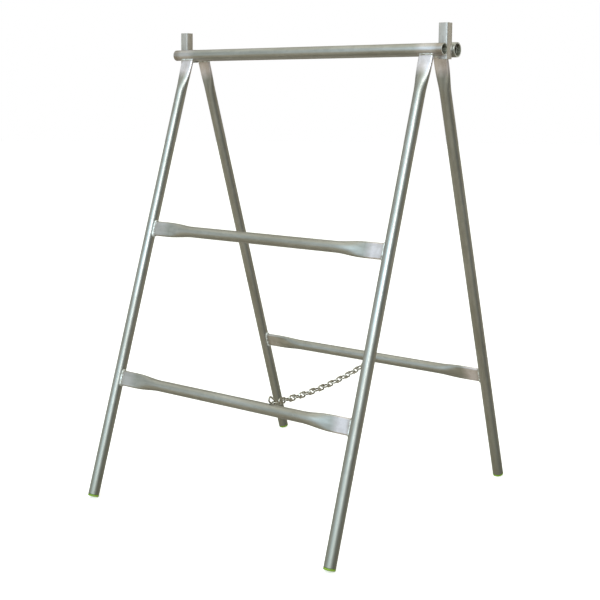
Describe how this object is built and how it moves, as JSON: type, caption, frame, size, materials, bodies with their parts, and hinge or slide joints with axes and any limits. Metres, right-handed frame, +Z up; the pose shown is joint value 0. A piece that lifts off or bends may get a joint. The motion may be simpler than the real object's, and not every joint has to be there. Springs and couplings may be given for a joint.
{
  "type": "folding sawhorse",
  "caption": "Folding sawhorse of welded steel tube: two hinged trestle frames with stop posts above the top tubes and a chain that limits how far they open",
  "frame": {"origin": "on the floor, midway between the four feet", "axes": "+X along the top tubes to the right-hand end, +Y from the two-rail front frame to the one-rail back frame, +Z up"},
  "size_m": [0.8076, 0.7944, 1.151],
  "materials": {
    "galvanised_tube": "galvanised, satin, with drawn streaks along the tubes",
    "galvanised_post": "galvanised, satin",
    "galvanised_sleeve": "galvanised, satin",
    "zinc_chain": "bright zinc plated",
    "green_plastic": "moulded yellow-green plastic"
  },
  "bodies": {
    "front_frame": {"front_top_tube": "galvanised_tube", "left_stop_post": "galvanised_post", "right_stop_post": "galvanised_post", "left_hinge_sleeve": "galvanised_sleeve", "right_hinge_sleeve": "galvanised_sleeve", "front_left_leg": "galvanised_tube", "front_right_leg": "galvanised_tube", "front_middle_rail": "galvanised_tube", "front_lower_rail": "galvanised_tube", "front_left_foot_plug": "green_plastic", "front_right_foot_plug": "green_plastic", "chain_link_01": "zinc_chain"},
    "back_frame": {"back_top_tube": "galvanised_tube", "back_left_leg": "galvanised_tube", "back_right_leg": "galvanised_tube", "back_lower_rail": "galvanised_tube", "back_left_foot_plug": "green_plastic", "back_right_foot_plug": "green_plastic", "chain_link_23": "zinc_chain"},
    "link_02": {"chain_link_02": "zinc_chain"},
    "link_03": {"chain_link_03": "zinc_chain"},
    "link_04": {"chain_link_04": "zinc_chain"},
    "link_05": {"chain_link_05": "zinc_chain"},
    "link_06": {"chain_link_06": "zinc_chain"},
    "link_07": {"chain_link_07": "zinc_chain"},
    "link_08": {"chain_link_08": "zinc_chain"},
    "link_09": {"chain_link_09": "zinc_chain"},
    "link_10": {"chain_link_10": "zinc_chain"},
    "link_11": {"chain_link_11": "zinc_chain"},
    "link_12": {"chain_link_12": "zinc_chain"},
    "link_13": {"chain_link_13": "zinc_chain"},
    "link_14": {"chain_link_14": "zinc_chain"},
    "link_15": {"chain_link_15": "zinc_chain"},
    "link_16": {"chain_link_16": "zinc_chain"},
    "link_17": {"chain_link_17": "zinc_chain"},
    "link_18": {"chain_link_18": "zinc_chain"},
    "link_19": {"chain_link_19": "zinc_chain"},
    "link_20": {"chain_link_20": "zinc_chain"},
    "link_21": {"chain_link_21": "zinc_chain"},
    "link_22": {"chain_link_22": "zinc_chain"}
  },
  "joints": [
    {"name": "fold", "type": "hinge", "parent": "front_frame", "child": "back_frame", "pos_m": [0, 0.02685, 1.09248], "axis": [-1, 0, 0], "range_deg": [0, 36.4]},
    {"name": "chain_link_02_swing", "type": "hinge", "parent": "front_frame", "child": "link_02", "pos_m": [0.1176, -0.26632, 0.29528], "axis": [-0.0978, 0.5652, 0.8192], "range_deg": [-1, 63.99]},
    {"name": "chain_link_03_drop", "type": "hinge", "parent": "link_02", "child": "link_03", "pos_m": [0.11311, -0.24034, 0.29379], "axis": [-0.9853, -0.1706, 0], "range_deg": [-1, 89.21]},
    {"name": "chain_link_04_drop", "type": "hinge", "parent": "link_03", "child": "link_04", "pos_m": [0.10946, -0.21927, 0.29117], "axis": [-0.9853, -0.1706, 0], "range_deg": [-1, 33.29]},
    {"name": "chain_link_05_drop", "type": "hinge", "parent": "link_04", "child": "link_05", "pos_m": [0.10435, -0.18975, 0.28781], "axis": [-0.9853, -0.1706, 0], "range_deg": [-1, 34.88]},
    {"name": "chain_link_06_swing", "type": "hinge", "parent": "link_05", "child": "link_06", "pos_m": [0.09996, -0.16442, 0.28518], "axis": [-0.0173, 0.1, 0.9948], "range_deg": [-54.72, 1]},
    {"name": "chain_link_07_drop", "type": "hinge", "parent": "link_06", "child": "link_07", "pos_m": [0.09557, -0.13906, 0.28286], "axis": [-0.9853, -0.1706, 0], "range_deg": [-41.15, 1]},
    {"name": "chain_link_08_drop", "type": "hinge", "parent": "link_07", "child": "link_08", "pos_m": [0.09191, -0.1179, 0.28111], "axis": [-0.9853, -0.1706, 0], "range_deg": [-11.97, 1]},
    {"name": "chain_link_09_drop", "type": "hinge", "parent": "link_08", "child": "link_09", "pos_m": [0.08678, -0.08827, 0.27897], "axis": [-0.9853, -0.1706, 0], "range_deg": [-6.81, 1]},
    {"name": "chain_link_10_swing", "type": "hinge", "parent": "link_09", "child": "link_10", "pos_m": [0.08238, -0.06285, 0.2774], "axis": [-0.0104, 0.06, 0.9981], "range_deg": [-11.63, 1]},
    {"name": "chain_link_11_drop", "type": "hinge", "parent": "link_10", "child": "link_11", "pos_m": [0.07798, -0.03741, 0.27613], "axis": [-0.9853, -0.1706, 0], "range_deg": [-1, 88.95]},
    {"name": "chain_link_12_drop", "type": "hinge", "parent": "link_11", "child": "link_12", "pos_m": [0.0743, -0.0162, 0.27526], "axis": [-0.9853, -0.1706, 0], "range_deg": [-90.74, 1]},
    {"name": "chain_link_13_drop", "type": "hinge", "parent": "link_12", "child": "link_13", "pos_m": [0.06917, 0.01349, 0.27434], "axis": [-0.9853, -0.1706, 0], "range_deg": [-84.83, 1]},
    {"name": "chain_link_14_swing", "type": "hinge", "parent": "link_13", "child": "link_14", "pos_m": [0.06476, 0.03895, 0.27383], "axis": [-0.0034, 0.0197, 0.9998], "range_deg": [-65.4, 1]},
    {"name": "chain_link_15_drop", "type": "hinge", "parent": "link_14", "child": "link_15", "pos_m": [0.06035, 0.06441, 0.27362], "axis": [-0.9853, -0.1706, 0], "range_deg": [-51.07, 1]},
    {"name": "chain_link_16_drop", "type": "hinge", "parent": "link_15", "child": "link_16", "pos_m": [0.05667, 0.08564, 0.27363], "axis": [-0.9853, -0.1706, 0], "range_deg": [-4.94, 1]},
    {"name": "chain_link_17_drop", "type": "hinge", "parent": "link_16", "child": "link_17", "pos_m": [0.05153, 0.11534, 0.27396], "axis": [-0.9853, -0.1706, 0], "range_deg": [-21.61, 1]},
    {"name": "chain_link_18_swing", "type": "hinge", "parent": "link_17", "child": "link_18", "pos_m": [0.04712, 0.14081, 0.2745], "axis": [0.0036, -0.0208, 0.9998], "range_deg": [-1, 35.53]},
    {"name": "chain_link_19_drop", "type": "hinge", "parent": "link_18", "child": "link_19", "pos_m": [0.04272, 0.16626, 0.27536], "axis": [-0.9853, -0.1706, 0], "range_deg": [-1, 11.91]},
    {"name": "chain_link_20_drop", "type": "hinge", "parent": "link_19", "child": "link_20", "pos_m": [0.03905, 0.18747, 0.27625], "axis": [-0.9853, -0.1706, 0], "range_deg": [-1, 5]},
    {"name": "chain_link_21_drop", "type": "hinge", "parent": "link_20", "child": "link_21", "pos_m": [0.03391, 0.21713, 0.27782], "axis": [-0.9853, -0.1706, 0], "range_deg": [-1, 17.83]},
    {"name": "chain_link_22_swing", "type": "hinge", "parent": "link_21", "child": "link_22", "pos_m": [0.02951, 0.24255, 0.27942], "axis": [0.0106, -0.0611, 0.9981], "range_deg": [-44.06, 1]}
  ],
  "couplings": [
    {"joint": "chain_link_02_swing", "follows": "fold", "ratio": 1.7306},
    {"joint": "chain_link_03_drop", "follows": "fold", "ratio": 2.4234},
    {"joint": "chain_link_04_drop", "follows": "fold", "ratio": 0.887},
    {"joint": "chain_link_05_drop", "follows": "fold", "ratio": 0.9308},
    {"joint": "chain_link_06_swing", "follows": "fold", "ratio": -1.4758},
    {"joint": "chain_link_07_drop", "follows": "fold", "ratio": -1.1029},
    {"joint": "chain_link_08_drop", "follows": "fold", "ratio": -0.3014},
    {"joint": "chain_link_09_drop", "follows": "fold", "ratio": -0.1597},
    {"joint": "chain_link_10_swing", "follows": "fold", "ratio": -0.2921},
    {"joint": "chain_link_11_drop", "follows": "fold", "ratio": 2.4162},
    {"joint": "chain_link_12_drop", "follows": "fold", "ratio": -2.4655},
    {"joint": "chain_link_13_drop", "follows": "fold", "ratio": -2.3031},
    {"joint": "chain_link_14_swing", "follows": "fold", "ratio": -1.7691},
    {"joint": "chain_link_15_drop", "follows": "fold", "ratio": -1.3756},
    {"joint": "chain_link_16_drop", "follows": "fold", "ratio": -0.1082},
    {"joint": "chain_link_17_drop", "follows": "fold", "ratio": -0.5661},
    {"joint": "chain_link_18_swing", "follows": "fold", "ratio": 0.9485},
    {"joint": "chain_link_19_drop", "follows": "fold", "ratio": 0.2998},
    {"joint": "chain_link_20_drop", "follows": "fold", "ratio": 0.11},
    {"joint": "chain_link_21_drop", "follows": "fold", "ratio": 0.4624},
    {"joint": "chain_link_22_swing", "follows": "fold", "ratio": -1.1831}
  ]
}
